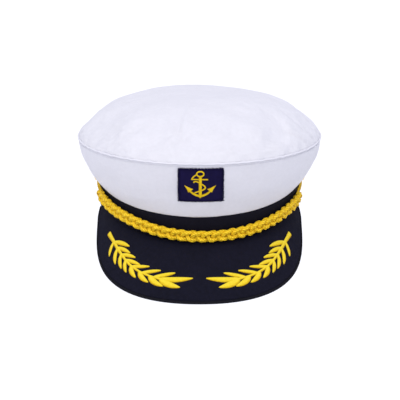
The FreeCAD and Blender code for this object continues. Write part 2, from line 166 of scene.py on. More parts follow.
def crown_wall(angle, rise, grow=0.0):
    """A point of the crown's wall: rise 0 is the band's top edge and rise 1 is the seam."""
    low_x, low_y = band_plan(angle, grow)
    high_x, high_y = crown_plan(angle, grow)
    bulge = lerp(FRONT_BULGE, SIDE_BULGE, np.sin(angle) ** 2) * 4 * rise * (1 - rise)
    x = lerp(low_x, high_x, rise) + bulge * np.sin(angle)
    y = lerp(low_y, high_y, rise) - bulge * np.cos(angle)
    return stack(x, y, lerp(band_top(low_y), seam_height(high_y), rise))


def dome(angle, radius, grow=0.0):
    """A point of the soft top: radius 0 is its middle and radius 1 the seam."""
    edge_x, edge_y = crown_plan(angle, grow)
    y = lerp(WIDEST_Y, edge_y, radius)
    lift = (DOME_RISE + grow) * (1 - radius ** DOME_FLATNESS)
    return stack(edge_x * radius, y, seam_height(y) + lift)


def visor_reach(angle):
    share = 1 - (np.abs(angle) / VISOR_SPAN_LIMIT) ** VISOR_TAPER
    corner = np.clip((VISOR_HALF_SPAN + 0.2 - np.abs(angle)) / VISOR_CORNER, 0, 1)
    return VISOR_LENGTH * share ** VISOR_TAPER_POWER * np.sqrt(1 - (1 - corner) ** 2)


def visor(angle, reach, lift=0.0):
    """A point of the visor: angle in degrees, reach down the slope, lift straight up."""
    slope = np.radians(VISOR_SLOPE + VISOR_SLOPE_GAIN * (angle / VISOR_SLOPE_AT) ** 2)
    turn = np.radians(angle)
    root_x, root_y = band_plan(turn, 0.1)
    out_x = np.sin(turn) / BAND_HALF_WIDTH
    out_y = -np.cos(turn) / (BAND_LENGTH / 2 + WIDEST_Y)
    size = np.hypot(out_x, out_y)
    out = reach * np.cos(slope)
    z = VISOR_ROOT_Z - reach * np.sin(slope) + lift
    return stack(root_x + out_x / size * out, root_y + out_y / size * out, z)


PANEL_SLANT = math.hypot(SEAM_FRONT_HEIGHT - BAND_FRONT_HEIGHT, (CROWN_LENGTH - BAND_LENGTH) / 2)


def badge_place(across, up, lift):
    """A point on the front panel about the patch's middle; lift is the height over the cloth."""
    rise = (PATCH_UP + up) / PANEL_SLANT
    half_width = lerp(BAND_HALF_WIDTH, CROWN_HALF_WIDTH, rise)
    return crown_wall(np.arcsin((PATCH_X + across) / half_width), rise, lift)


def waves(x, y, seed, scale, octaves=3):
    """Smooth seeded noise between about -1 and 1, made of sines in random directions."""
    rng = np.random.default_rng(seed)
    total = np.zeros(np.broadcast(x, y).shape)
    size = 0.0
    for octave in range(octaves):
        weight = 0.55 ** octave
        for _ in range(5):
            turn = rng.uniform(0, 2 * math.pi)
            phase = rng.uniform(0, 2 * math.pi)
            wave = 2 ** octave * rng.uniform(0.7, 1.3) * 2 * math.pi / scale
            total += weight * np.sin((x * math.cos(turn) + y * math.sin(turn)) * wave + phase)
        size += weight * math.sqrt(5 / 2)
    return total / size / 1.6


# ---------- mesh helpers ----------

def grid_faces(rows, columns, wrap_rows=False, wrap_columns=False, start=0):
    """Quads of a grid of points stored row by row."""
    faces = []
    for i in range(rows if wrap_rows else rows - 1):
        below = (i + 1) % rows
        for j in range(columns if wrap_columns else columns - 1):
            right = (j + 1) % columns
            faces.append((
                start + i * columns + j, start + i * columns + right,
                start + below * columns + right, start + below * columns + j,
            ))
    return faces


def flipped(faces):
    return [tuple(reversed(face)) for face in faces]


def disc_faces(rings, spokes):
    """Faces, seen from above, of rings of points about a middle point that comes last."""
    middle = rings * spokes
    faces = grid_faces(rings, spokes, wrap_columns=True)
    return flipped(faces + [(middle, (k + 1) % spokes, k) for k in range(spokes)])


def tube_faces(rings, sides):
    """The wall of a tube and its two ends."""
    faces = grid_faces(rings, sides, wrap_columns=True)
    return faces + [tuple(range(sides)), tuple(reversed(range((rings - 1) * sides, rings * sides)))]


def make_object(name, points, faces, weave=None):
    """A smooth object from points in millimetres; weave holds the cloth's own coordinates."""
    points = np.asarray(points, float).reshape(-1, 3)
    mesh = bpy.data.meshes.new(name)
    mesh.from_pydata((points * MM).tolist(), [], faces)
    mesh.polygons.foreach_set("use_smooth", [True] * len(mesh.polygons))
    cloth = points if weave is None else np.asarray(weave, float).reshape(-1, 3)
    layer = mesh.attributes.new("weave", "FLOAT_VECTOR", "POINT")
    layer.data.foreach_set("vector", cloth.ravel())
    mesh.update()
    made = bpy.data.objects.new(name, mesh)
    bpy.context.scene.collection.objects.link(made)
    return made


def add_thickness(piece, thickness, offset=-1.0):
    """Thickens a surface inwards, or to both sides when the offset is 0."""
    solid = piece.modifiers.new("thickness", "SOLIDIFY")
    solid.thickness = thickness * MM
    solid.offset = offset
    solid.use_even_offset = True
    return piece


def place_piece(piece, body, slot, *nodes, look=None):
    """Hangs a piece on its body; its material is its slot's own unless look names another."""
    piece.data.materials.append(MATERIALS[look or slot])
    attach(piece, body)
    if nodes:
        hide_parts(*nodes)
    return piece


class Pile:
    """Collects closed shells that become one piece."""

    def __init__(self):
        self.points, self.faces, self.weave = [], [], []
        self.count = 0

    def add(self, points, faces, weave):
        points = np.asarray(points, float).reshape(-1, 3)
        self.points.append(points)
        self.weave.append(np.asarray(weave, float).reshape(-1, 3))
        self.faces += [tuple(self.count + k for k in face) for face in faces]
        self.count += len(points)

    def make(self, name):
        points, weave = np.concatenate(self.points), np.concatenate(self.weave)
        return make_object(name, points, self.faces, weave)


def length_along(line):
    steps = np.linalg.norm(np.diff(line, axis=0), axis=1)
    return np.concatenate([[0], np.cumsum(steps)])


def points_at(line, along, distances):
    return np.stack([np.interp(distances, along, line[:, k]) for k in range(3)], axis=1)


def resample(line, step):
    along = length_along(line)
    return points_at(line, along, np.linspace(0, along[-1], max(4, int(along[-1] / step))))


def line_frames(line, closed=False):
    """Length along, sideways and upward directions of a line of points."""
    along = length_along(line)
    if closed:
        tangent = unit(np.roll(line, -1, axis=0) - np.roll(line, 1, axis=0))
    else:
        tangent = unit(np.gradient(line, along, axis=0))
    side = unit(np.cross(tangent, [0, 0, 1.0]))
    return along, side, np.cross(side, tangent)


def add_tube(pile, line, radius, sides=12, closed=False, twist=None, painted_light=1.0):
    """A tube about a line; twist(along, turn) gives the share of the radius for rope ridges. The
    last argument is the painted light level for the thread's colour: lower values give painted
    shade.
    """
    along, side, up = line_frames(line, closed)
    turn = np.linspace(0, 2 * math.pi, sides, endpoint=False)
    size = np.broadcast_to(np.asarray(radius, float), along.shape)[:, None] * np.ones(sides)
    if twist is not None:
        size = size * twist(along[:, None], turn[None, :])
    ring = side[:, None] * np.cos(turn)[None, :, None] + up[:, None] * np.sin(turn)[None, :, None]
    points = line[:, None] + ring * size[..., None]
    # The weave's third coordinate carries the painted light.
    weave = stack(along[:, None], turn[None, :] * np.mean(size), np.reshape(painted_light, (-1, 1)))
    if closed:
        faces = grid_faces(len(line), sides, wrap_rows=True, wrap_columns=True)
    else:
        faces = tube_faces(len(line), sides)
    pile.add(points, faces, weave)


# ---------- materials ----------

class Nodes:
    """A short way to build a material's node tree."""

    def __init__(self, name, color, roughness, **sockets):
        self.material = bpy.data.materials.new(name)
        self.material.use_nodes = True
        self.tree = self.material.node_tree
        self.shader = self.tree.nodes["Principled BSDF"]
        self.shader.inputs["Base Color"].default_value = (*color, 1)
        self.shader.inputs["Roughness"].default_value = roughness
        for socket, value in sockets.items():
            self.shader.inputs[socket.replace("_", " ")].default_value = value

    def node(self, kind, **values):
        made = self.tree.nodes.new("ShaderNode" + kind)
        for name, value in values.items():
            setattr(made, name, value)
        return made

    def link(self, start, end):
        self.tree.links.new(start, end)

    def weave(self):
        return self.node("Attribute", attribute_name="weave").outputs["Vector"]

    def noise(self, vector, scale, detail=3.0):
        made = self.node("TexNoise")
        made.inputs["Scale"].default_value = scale
        made.inputs["Detail"].default_value = detail
        self.link(vector, made.inputs["Vector"])
        return made.outputs["Fac"]

    def wave(self, vector, period, direction="DIAGONAL", distortion=0.4):
        """Parallel ridges with the given spacing, diagonal or across the first coordinate."""
        per_unit = 10 if direction == "DIAGONAL" else 20
        made = self.node("TexWave", wave_type="BANDS", bands_direction=direction)
        made.inputs["Scale"].default_value = 2 * math.pi / (per_unit * period)
        made.inputs["Distortion"].default_value = distortion
        made.inputs["Detail"].default_value = 1.0
        self.link(vector, made.inputs["Vector"])
        return made.outputs["Fac"]

    def math(self, operation, first, second):
        made = self.node("Math", operation=operation)
        for socket, value in zip(made.inputs, (first, second)):
            if isinstance(value, (int, float)):
                socket.default_value = value
            else:
                self.link(value, socket)
        return made.outputs[0]

    def ramp(self, value, *stops):
        made = self.node("ValToRGB")
        elements = made.color_ramp.elements
        while len(elements) < len(stops):
            elements.new(0.5)
        for element, (place, color) in zip(elements, stops):
            element.position = place
            element.color = (*color, 1)
        self.link(value, made.inputs["Fac"])
        return made.outputs["Color"]

    def color(self, socket):
        self.link(socket, self.shader.inputs["Base Color"])

    def bump(self, height, distance, strength, before=None):
        made = self.node("Bump")
        made.inputs["Distance"].default_value = distance * MM
        made.inputs["Strength"].default_value = strength
        self.link(height, made.inputs["Height"])
        if before is not None:
            self.link(before, made.inputs["Normal"])
        self.link(made.outputs["Normal"], self.shader.inputs["Normal"])
        return made.outputs["Normal"]


def shade(color, share):
    return tuple(part * share for part in color)


def twill(name, color, period, depth, roughness=0.85, spread=0.06, sheen=0.15):
    """Cotton twill: diagonal ridges crossed by fine threads, with soft uneven colour and painted
    shade that follows the ridges.
    """
    made = Nodes(name, color, roughness, Sheen_Weight=sheen, Sheen_Roughness=0.5)
    made.shader.inputs["Specular IOR Level"].default_value = 0.12
    cloth = made.weave()
    ridges = made.wave(cloth, period)
    threads = made.wave(cloth, period * 0.45, "X", 0.8)
    height = made.math("ADD", ridges, made.math("MULTIPLY", threads, 0.35))
    patches = made.math("MULTIPLY", made.noise(cloth, 0.05), 0.5)
    slubs = made.math("MULTIPLY", made.noise(cloth, 0.3), 0.7)
    # Colour that follows the ridges: painted highlight on their crests and painted shade in the
    # grooves.
    flecks_and_row_shade = made.math("MULTIPLY", made.math("SUBTRACT", ridges, 0.7), 0.25)
    value = made.math("ADD", made.math("ADD", patches, slubs), flecks_and_row_shade)
    made.color(made.ramp(value, (0.2, shade(color, 1 - spread)), (0.8, shade(color, 1 + spread))))
    creases = made.bump(made.noise(cloth, 0.12, 4.0), 0.9, 0.6)
    made.bump(height, depth, 0.8, before=creases)
    return made.material


def thread(name, dark, middle, bright, period, depth, direction="X", grain=0.22):
    """Rows of glossy thread. The third weave coordinate is painted light: 0, in the grooves, gives
    painted shade and 1, on the crests, full brightness.
    """
    made = Nodes(name, middle, 0.5)
    made.shader.inputs["Specular IOR Level"].default_value = 0.14
    cloth = made.weave()
    rows = made.wave(cloth, period, direction, 0.6)
    parts = made.node("SeparateXYZ")
    made.link(cloth, parts.inputs[0])
    # Random flecks, plus painted shade between the thread rows and painted highlight on their
    # crests; grain sets the rows' share.
    flecks_and_row_shade = made.math("MULTIPLY", made.noise(cloth, 0.7, 2.0), 0.58 - grain)
    flecks_and_row_shade = made.math("ADD", made.math("MULTIPLY", rows, grain), flecks_and_row_shade)
    # The third weave coordinate darkens the colour towards the first stop: painted shade.
    value = made.math("ADD", flecks_and_row_shade, made.math("MULTIPLY", parts.outputs["Z"], 0.6))
    made.color(made.ramp(value, (0.28, dark), (0.62, middle), (0.98, bright)))
    made.bump(rows, depth, 0.9)
    return made.material


def plain(name, color, roughness, grain=0.3, depth=0.05, metallic=0.0, spread=0.08):
    """Board, plastic, leather or metal with a fine grain."""
    made = Nodes(name, color, roughness, Metallic=metallic)
    place = made.node("TexCoord").outputs["Object"]
    grains = made.noise(place, 1000 * grain, 4.0)
    made.color(made.ramp(grains, (0.3, shade(color, 1 - spread)), (0.7, shade(color, 1 + spread))))
    made.bump(grains, depth, 0.6)
    return made.material


# One material for each slot of the record, and two more threads: gold_badge and grey_thread.
MATERIALS = {
    "crown_cloth": twill("white_twill", (0.75, 0.745, 0.785), 0.9, 0.12, spread=0.035),
    # The seam ridge's white cloth is a little lighter than the crown's: a painted highlight on the
    # ridge and the topstitching.
    "piping_cloth": twill("white_ridge", (0.77, 0.765, 0.815), 0.7, 0.08, spread=0.02),
    "band_cloth": twill("black_cloth", (0.0042, 0.0038, 0.0085), 0.7, 0.08, 0.85, 0.2, 0.0),
    "visor_cloth": twill("navy_twill", (0.0048, 0.0048, 0.0125), 0.8, 0.10, 0.85, 0.35, 0.0),
    "visor_lining": twill("black_lining", (0.006, 0.006, 0.009), 0.5, 0.05, 0.85, 0.2, 0.0),
    "lining_cloth": twill("white_lining", (0.70, 0.70, 0.74), 0.4, 0.03, 0.6, spread=0.04),
    "patch_cloth": twill("navy_felt", (0.007, 0.0045, 0.036), 0.6, 0.08, 0.95, 0.3, 0.0),
    # Each gold thread's first colour serves as painted shade, its second as the thread's own colour
    # and its third as painted highlight, reached also by bright flecks.
    "gold_thread": thread("gold_satin_stitch", (0.42, 0.20, 0.0), (0.76, 0.52, 0.004),
                          (0.88, 0.70, 0.04), 0.5, 0.08),
    "gold_badge": thread("gold_badge_stitch", (0.32, 0.16, 0.0), (0.60, 0.37, 0.0),
                         (0.81, 0.57, 0.01), 0.5, 0.08),
    "gold_braid": thread("gold_braid", (0.12, 0.032, 0.0), (0.67, 0.36, 0.0),
                         (1.0, 0.71, 0.03), 1.8, 0.25, "DIAGONAL", 0.40),
    "label_cloth": twill("label_weave", (0.78, 0.78, 0.78), 0.3, 0.03, spread=0.03),
    "sweat_leather": plain("black_leather", (0.02, 0.018, 0.018), 0.5, 0.6, 0.08),
    "grey_thread": plain("grey_thread", (0.30, 0.30, 0.31), 0.8, 0.9, 0.05),
    "board": plain("grey_board", (0.20, 0.20, 0.21), 0.8, 0.8, 0.05),
    "hoop_plastic": plain("white_plastic", (0.72, 0.72, 0.72), 0.4, 0.2, 0.01),
    "steel": plain("bright_steel", (0.55, 0.55, 0.56), 0.3, 0.9, 0.01, 1.0),
    "button_brass": plain("gilt", (0.83, 0.60, 0.20), 0.22, 0.7, 0.01, 1.0),
    "eyelet_brass": plain("brass", (0.62, 0.50, 0.25), 0.35, 0.7, 0.01, 1.0),
}


def dress_cad_nodes():
    """Every CAD node gets its slot's material; the pieces below then replace most of them."""
    for row in frame["record"]["subparts"]:
        mesh = frame["nodes"][row["node"]].data
        layer = mesh.attributes.new("weave", "FLOAT_VECTOR", "POINT")
        points = np.empty(len(mesh.vertices) * 3, np.float32)
        mesh.vertices.foreach_get("co", points)
        layer.data.foreach_set("vector", points / MM)
        mesh.materials.clear()
        mesh.materials.append(MATERIALS[row["material_slot"]])


# ---------- crown ----------

TOP_RINGS = 56
TOP_SPOKES = 288
SPARE_CLOTH = 0.03
SETTLE_FRAMES = 24
FEWEST_FOLDS = 7
DEEPEST_FOLD = 2.0
RIDGE_RADIUS = 0.75
TOPSTITCH_DROP = 2.6


def fold(angle, radius, at, low, high, width, depth, slant):
    """A crease of the top at an angle of the seam, from one radius to another."""
    line = at + slant * (1 - radius) * 100
    across = (np.degrees((angle - math.pi) % (2 * math.pi)) - 180 - line) / width
    length = smooth_step(low, low + 0.04, radius) * smooth_step(high, high - 0.04, radius)
    return -depth * np.exp(-across ** 2) * length


# Creases of the soft top: angle, from and to radius, width in degrees, depth and slant.
CREASES = [
    (-79, 0.86, 0.995, 1.6, 1.0, 0.5), (-73, 0.83, 0.995, 1.4, 0.9, 0.6),
    (-67.5, 0.85, 0.995, 1.3, 1.0, 0.5), (-62, 0.80, 0.995, 1.5, 1.2, 0.8),
    (-56, 0.84, 0.995, 1.3, 0.8, 0.6), (-50, 0.82, 0.99, 1.5, 0.9, 0.8),
    (-44, 0.86, 0.99, 1.4, 0.6, 0.5), (62, 0.84, 0.995, 1.3, 1.2, -0.9),
    (70, 0.88, 0.995, 1.2, 0.7, -0.5), (-12, 0.50, 0.86, 1.6, 0.5, 0.0),
    (95, 0.85, 0.99, 1.6, 0.9, 0.3), (112, 0.86, 0.99, 1.5, 0.7, 0.0),
    (140, 0.84, 0.99, 1.8, 0.8, 0.2), (170, 0.86, 0.99, 1.5, 0.6, 0.0),
    (-105, 0.84, 0.99, 1.7, 0.9, -0.3), (-128, 0.86, 0.99, 1.5, 0.7, 0.2),
    (-155, 0.85, 0.99, 1.6, 0.8, 0.0),
]


def top_shape(angle, radius):
    """The top panel at rest: it rolls out over the seam, and gathers and soft hollows mark it."""
    degrees = np.degrees((angle + math.pi) % (2 * math.pi) - math.pi)
    points = dome(angle, radius)
    x, y = points[..., 0], points[..., 1]
    edge = np.exp(-((radius - 0.955) / 0.035) ** 2)
    front = np.cos(np.radians(degrees) / 2) ** 2
    points = points + outward(angle) * (edge * lerp(0.5, 1.2, front))[..., None]
    lift = 0.9 * edge + 1.1 * smooth_step(1.0, 0.80, radius) * waves(x, y, 11, 130)
    ripples = np.sin(np.radians(degrees) * 41 + 2 * np.sin(np.radians(degrees) * 5))
    lift = lift + 0.22 * ripples * smooth_step(0.86, 0.97, radius) * smooth_step(1.0, 0.985, radius)
    for crease in CREASES:
        lift = lift + fold(angle, radius, *crease)
    groove = np.exp(-((radius - 0.945) / 0.012) ** 2) * smooth_step(14, 20, degrees)
    lift = lift - 1.1 * groove * smooth_step(40, 32, degrees)
    points[..., 2] += lift
    return points


def settle_cloth(piece):
    """Spare cloth buckles under a little pressure; only its folds are kept, not its sag."""
    before = np.array([v.co for v in piece.data.vertices])
    group = piece.vertex_groups.new(name="held")
    for ring in range(TOP_RINGS):
        share = ring / (TOP_RINGS - 1)
        weight = 1.0 if share == 1 else float(smooth_step(0.45, 0.2, share))
        if weight > 0:
            group.add(range(ring * TOP_SPOKES, (ring + 1) * TOP_SPOKES), weight, "REPLACE")
    group.add([TOP_RINGS * TOP_SPOKES], 1.0, "REPLACE")
    cloth = piece.modifiers.new("Cloth", "CLOTH")
    rules = cloth.settings
    rules.quality = 6
    rules.mass = 0.2
    rules.tension_stiffness = 40
    rules.compression_stiffness = 40
    rules.shear_stiffness = 15
    rules.bending_stiffness = 2.0
    rules.vertex_group_mass = "held"
    rules.shrink_min = -SPARE_CLOTH
    rules.use_pressure = True
    rules.uniform_pressure_force = 0.5
    rules.effector_weights.gravity = 0.0
    cloth.collision_settings.use_collision = False
    cloth.point_cache.frame_end = SETTLE_FRAMES
    for step in range(1, SETTLE_FRAMES + 1):
        bpy.context.scene.frame_set(step)
    settled = piece.evaluated_get(bpy.context.evaluated_depsgraph_get()).to_mesh()
    after = np.array([v.co for v in settled.vertices])
    piece.modifiers.remove(cloth)
    bpy.context.scene.frame_set(1)
    shift = (after - before)[:-1].reshape(TOP_RINGS, TOP_SPOKES, 3)
    waves_round = np.fft.rfft(shift, axis=1)
    waves_round[:, :FEWEST_FOLDS] = 0
    shift = np.fft.irfft(waves_round, n=TOP_SPOKES, axis=1)
    size = np.linalg.norm(shift, axis=2, keepdims=True)
    shift *= np.minimum(1, DEEPEST_FOLD * MM / np.maximum(size, 1e-9))
    shift *= lerp(0.3, 0.9, smooth_step(0.55, 0.95, np.linspace(0, 1, TOP_RINGS)))[:, None, None]
    before[:-1] += shift.reshape(-1, 3)
    piece.data.vertices.foreach_set("co", before.ravel())
    piece.data.update()


def crown_top():
    angle = np.linspace(0, 2 * math.pi, TOP_SPOKES, endpoint=False)
    radius = 1 - (1 - np.linspace(0.02, 1, TOP_RINGS)) ** 1.15
    points = top_shape(angle[None, :], radius[:, None]).reshape(-1, 3)
    middle = top_shape(np.zeros(1), np.zeros(1))
    points = np.concatenate([points, middle])
    piece = make_object("crown_top", points, disc_faces(TOP_RINGS, TOP_SPOKES))
    settle_cloth(piece)
    add_thickness(piece, CLOTH_THICK)
    place_piece(piece, "cap", "crown_cloth", "crown_top_panel")


def crown_sides():
    """The flared wall in two panels that meet in upright seams at the sides.

    At the sides the panels' lower edge hangs a little further down and stands looser.
    """
    for name, node, start, end in (
        ("crown_front", "crown_front_panel", -90, 90), ("crown_back", "crown_back_panel", 90, 270),
    ):
        rows, columns = 241, 25
        angle = np.radians(np.linspace(start, end, rows))[:, None]
        degrees = np.degrees(np.abs(angle))
        hang = 0.012 + 0.045 * smooth_step(62, 80, degrees)
        rise = lerp(-hang, 1.0, np.linspace(0, 1, columns)[None, :])
        points = crown_wall(angle, rise)
        along = angle * 100
        height = rise * PANEL_SLANT
        free = np.sin(np.clip(rise, 0, 1) * math.pi) ** 0.6
        soft = 0.55 * waves(along, height * 1.4, 21, 70) * free
        tucked = 0.4 * smooth_step(0.0, -0.05, rise) - 0.3 * smooth_step(0.03, 0.0, rise)
        loose = 1.1 * smooth_step(62, 77, degrees) * smooth_step(0.5, 0.15, rise)
        soft = soft + loose * smooth_step(135, 100, degrees)
        points = points + outward(angle) * (soft + tucked)[..., None]
        faces = flipped(grid_faces(rows, columns))
        piece = make_object(name, points, faces, stack(along, height, 0.0))
        add_thickness(piece, CLOTH_THICK)
        place_piece(piece, "cap", "crown_cloth", node)


def crown_ridge():
    """The seam allowance turned inside lifts the cloth into a narrow ridge along the seam."""
    angle = np.linspace(0, 2 * math.pi, 720, endpoint=False)
    x, y = crown_plan(angle, 0.25)
    line = stack(x, y, seam_height(y))
    line[..., 2] += 0.12 * np.sin(angle * 61) + 0.1 * np.sin(angle * 97 + 1)
    pile = Pile()
    add_tube(pile, line, RIDGE_RADIUS, 12, closed=True)
    place_piece(pile.make("crown_seam_ridge"), "cap", "piping_cloth", "crown_piping")


def stitch_row(name, row, pitch, radius, slot, look):
    """Raised stitches along a line of points on the cap."""
    pile = Pile()
    along = length_along(row)
    for start in np.arange(0, along[-1] - pitch, pitch):
        line = points_at(row, along, np.linspace(start, start + pitch * 0.72, 5))
        add_tube(pile, line, radius * np.array([0.35, 0.9, 1.0, 0.9, 0.35]), 6)
    place_piece(pile.make(name), "cap", slot, look=look)


def crown_topstitch():
    """One row of stitches just under the ridge, right round the wall."""
    row = crown_wall(np.linspace(0, 2 * math.pi, 2001), 1 - TOPSTITCH_DROP / PANEL_SLANT, 0.15)
    stitch_row("crown_topstitch", row, 3.0, 0.28, "crown_cloth", "piping_cloth")


# ---------- inside ----------

LINING_IN = -6.3
LINING_FOOT_IN = -2.7
LINING_TUCK = 3.0
SWEATBAND_IN = -3.2
SWEATBAND_THICK = 0.8
SWEATBAND_SHORT = 2.0


def lining_top():
    """The loose top lining, gathered into its seam."""
    rings, spokes = 24, 240
    angle = np.linspace(0, 2 * math.pi, spokes, endpoint=False)[None, :]
    radius = np.linspace(0.02, 1, rings)[:, None]
    points = dome(angle, radius, LINING_IN)
    x, y = points[..., 0], points[..., 1]
    gathers = 0.9 * np.sin(60 * angle + 2 * np.sin(7 * angle)) * smooth_step(0.6, 0.95, radius)
    sag = 1.4 * waves(x, y, 61, 70) + gathers
    points[..., 2] += sag * smooth_step(1.0, 0.93, radius) - 1.6 * smooth_step(1.0, 0.6, radius)
    middle = points[0].mean(axis=0, keepdims=True)
    points = np.concatenate([points.reshape(-1, 3), middle])
    piece = make_object("lining_dome", points, disc_faces(rings, spokes))
    add_thickness(piece, LINING_THICK)
    place_piece(piece, "cap", "lining_cloth", "lining_top")


def lining_sides():
    """Two lining panels that run from under the sweatband to the top lining's edge."""
    for name, start, end in (("front", -90, 90), ("back", 90, 270)):
        rows, columns = 241, 21
        angle = np.radians(np.linspace(start, end, rows))[:, None]
        rise = np.linspace(0, 1, columns)[None, :]
        low_x, low_y = band_plan(angle, LINING_FOOT_IN)
        high_x, high_y = crown_plan(angle, LINING_IN)
        free = np.sin(math.pi * rise)
        gathers = 0.45 * np.sin(70 * angle + 2 * np.sin(9 * angle)) * free
        x = lerp(low_x, high_x, rise) - (0.8 - gathers) * np.sin(angle) * free
        y = lerp(low_y, high_y, rise) + (0.8 - gathers) * np.cos(angle) * free
        points = stack(x, y, lerp(band_top(low_y) - LINING_TUCK, seam_height(high_y), rise))
        weave = stack(angle * 95, rise * PANEL_SLANT, 0.0)
        piece = make_object("lining_" + name, points, flipped(grid_faces(rows, columns)), weave)
        add_thickness(piece, LINING_THICK)
        place_piece(piece, "cap", "lining_cloth", "lining_side_" + name)


def lining_welt():
    """The turned seam between the lining's top and sides."""
    angle = np.linspace(0, 2 * math.pi, 480, endpoint=False)
    x, y = crown_plan(angle, LINING_IN - 0.6)
    pile = Pile()
    add_tube(pile, stack(x, y, seam_height(y) - 0.3), 0.6, 8, closed=True)
    place_piece(pile.make("lining_seam"), "cap", "lining_cloth")


def sweatband_face(angle, height, proud=0.0):
    """A point of the sweatband's inner face; proud is how far it stands towards the head."""
    x, y = band_plan(angle, SWEATBAND_IN - SWEATBAND_THICK - proud)
    return stack(x, y, height)


def sweatband():
    rows, columns = 360, 13
    angle = np.linspace(0, 2 * math.pi, rows, endpoint=False)[:, None]
    share = np.linspace(0, 1, columns)[None, :]
    foot = band_plan(angle)[1]
    height = share * (band_top(foot) - SWEATBAND_SHORT)
    curl = 0.5 * share ** 3 + 0.25 * waves(angle * 95, height, 71, 45) * share
    x, y = band_plan(angle, SWEATBAND_IN)
    points = stack(x - curl * np.sin(angle), y + curl * np.cos(angle), height)
    faces = flipped(grid_faces(rows, columns, wrap_rows=True))
    piece = make_object("sweatband_leather", points, faces, stack(angle * 85, height, 0.0))
    add_thickness(piece, SWEATBAND_THICK)
    place_piece(piece, "cap", "sweat_leather", "sweatband")
    row = sweatband_face(np.linspace(0, 2 * math.pi, 1201), 2.6, 0.12)
    stitch_row("sweatband_stitches", row, 3.6, 0.3, "sweat_leather", "grey_thread")


def size_label():
    """A blank woven label, sewn to the sweatband by its short ends."""
    low, high = corners_mm("size_label")
    span = math.asin(high[0] / (BAND_HALF_WIDTH + SWEATBAND_IN - SWEATBAND_THICK))
    rows, columns = 41, 25
    angle = np.linspace(math.pi - span, math.pi + span, rows)[:, None]
    height = np.linspace(low[2], high[2], columns)[None, :]
    bow = 0.35 + 0.25 * np.sin((angle - math.pi + span) / span * math.pi / 2)
    points = sweatband_face(angle, height, bow)
    piece = make_object("label", points, grid_faces(rows, columns), stack(angle * 85, height, 0.0))
    add_thickness(piece, 0.3)
    place_piece(piece, "cap", "label_cloth", "size_label")
    pile = Pile()
    for edge in (-1, 1):
        for spot in np.arange(low[2] + 0.6, high[2] - 0.4, 1.0):
            turn = math.pi + edge * (span - np.array([0.0, 0.012, 0.024]))
            line = sweatband_face(turn, spot + np.array([0.0, 0.25, 0.0]), 0.95)
            add_tube(pile, line, 0.16, 6)
    place_piece(pile.make("label_stitches"), "cap", "label_cloth", look="grey_thread")


def band_hem():
    """The band's cloth turned under its edge and sewn to the sweatband's reed."""
    rows, columns = 480, 14
    angle = np.linspace(0, 2 * math.pi, rows, endpoint=False)[:, None]
    turn = np.linspace(0, 2 * math.pi, columns, endpoint=False)[None, :]
    half_width = -SWEATBAND_IN / 2
    grow = -half_width + half_width * np.cos(turn)
    x, y = band_plan(angle, grow)
    points = stack(x, y, 0.35 + 0.75 * np.sin(turn))
    weave = stack(angle * 95, turn * half_width, 0.0)
    piece = make_object("band_hem", points, grid_faces(rows, columns, True, True), weave)
    place_piece(piece, "cap", "band_cloth")


# ---------- band ----------

def cap_band():
    rows, columns = 360, 9
    angle = np.linspace(0, 2 * math.pi, rows, endpoint=False)[:, None]
    share = np.linspace(0, 1, columns)[None, :]
    x, y = band_plan(angle)
    z = share * (band_top(y) + 0.6)
    puff = 0.12 * waves(angle * 100, z, 31, 40)
    points = stack(x + puff * np.sin(angle), y - puff * np.cos(angle), z)
    weave = stack(angle * 95, z, 0.0)
    faces = flipped(grid_faces(rows, columns, wrap_rows=True))
    piece = make_object("band_cloth", points, faces, weave)
    add_thickness(piece, 1.0)
    place_piece(piece, "cap", "band_cloth", "cap_band")


# ---------- visor ----------

VISOR_ROWS = 121
VISOR_COLUMNS = 31


def visor_grid(lift, inset=0.0):
    angle = np.linspace(-VISOR_HALF_SPAN, VISOR_HALF_SPAN, VISOR_ROWS)[:, None]
    share = np.linspace(0, 1, VISOR_COLUMNS)[None, :]
    return visor(angle, (visor_reach(angle) - inset) * share, lift)


def visor_layers():
    """The visor's cloth cover, its board and its lining."""
    top = visor_grid(0.0)
    top[..., 2] += 0.18 * waves(top[..., 0], top[..., 1], 41, 60)
    faces = grid_faces(VISOR_ROWS, VISOR_COLUMNS)
    weave = stack(top[..., 0], np.hypot(top[..., 1], top[..., 2]), 0.0)
    piece = add_thickness(make_object("visor_top", top, faces, weave), 0.5)
    place_piece(piece, "cap", "visor_cloth", "visor_top_cover")
    board = visor_grid(-VISOR_THICK / 2, VISOR_EDGE)
    piece = add_thickness(make_object("visor_board", board, faces, weave), 0.8, 0.0)
    place_piece(piece, "cap", "board", "visor_core")
    low = visor_grid(-VISOR_THICK)
    piece = add_thickness(make_object("visor_under", low, flipped(faces), weave), 0.4)
    place_piece(piece, "cap", "visor_lining", "visor_under_cover")


def visor_edge():
    """The bound edge: a soft flattened roll along the rim."""
    angle = np.linspace(-VISOR_HALF_SPAN, VISOR_HALF_SPAN, 401)
    line = visor(angle, visor_reach(angle) + VISOR_EDGE / 2, -VISOR_THICK / 2)
    line = resample(line, 1.0)
    along, side, _ = line_frames(line)
    turn = np.linspace(0, 2 * math.pi, 12, endpoint=False)
    wide, tall = VISOR_EDGE / 2 + 0.5, VISOR_THICK / 2 + 0.25
    points = line[:, None] + side[:, None] * (np.cos(turn) * wide)[None, :, None]
    points = points + np.array([0, 0, 1.0]) * (np.sin(turn) * tall)[None, :, None]
    weave = stack(along[:, None], turn[None, :], 0.0)
    piece = make_object("visor_binding", points, tube_faces(len(line), len(turn)), weave)
    place_piece(piece, "cap", "visor_lining", "visor_edge_binding")


# ---------- raised embroidery ----------

